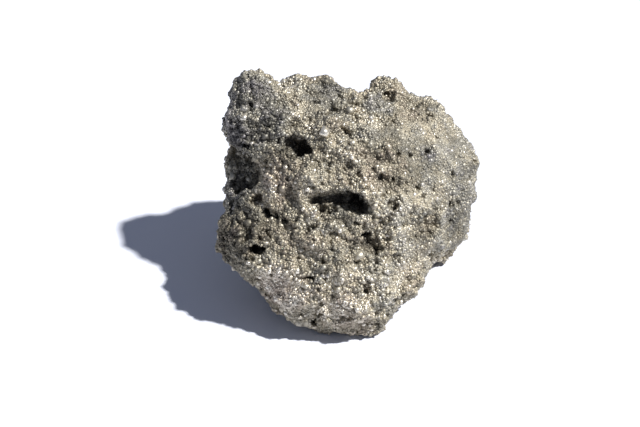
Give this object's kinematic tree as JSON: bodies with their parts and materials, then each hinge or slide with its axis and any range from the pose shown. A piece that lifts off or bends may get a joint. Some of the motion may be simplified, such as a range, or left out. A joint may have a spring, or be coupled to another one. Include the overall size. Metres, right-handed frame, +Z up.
{
  "type": "pyrite specimen",
  "caption": "Hand-sized lump of massive granular pyrite, knobbly and pitted with vugs, that lies on a flat break. For display, or as a stone in a scene.",
  "frame": {"origin": "on the surface the lump lies on, under the middle of its box", "axes": "+X to the right across the front, +Y away from the front, +Z up"},
  "size_m": [0.0624, 0.0586, 0.0502],
  "materials": {
    "pyrite": "granular, metallic, dulled by tarnish"
  },
  "bodies": {
    "root": {"pyrite_nugget": "pyrite"}
  },
  "joints": []
}
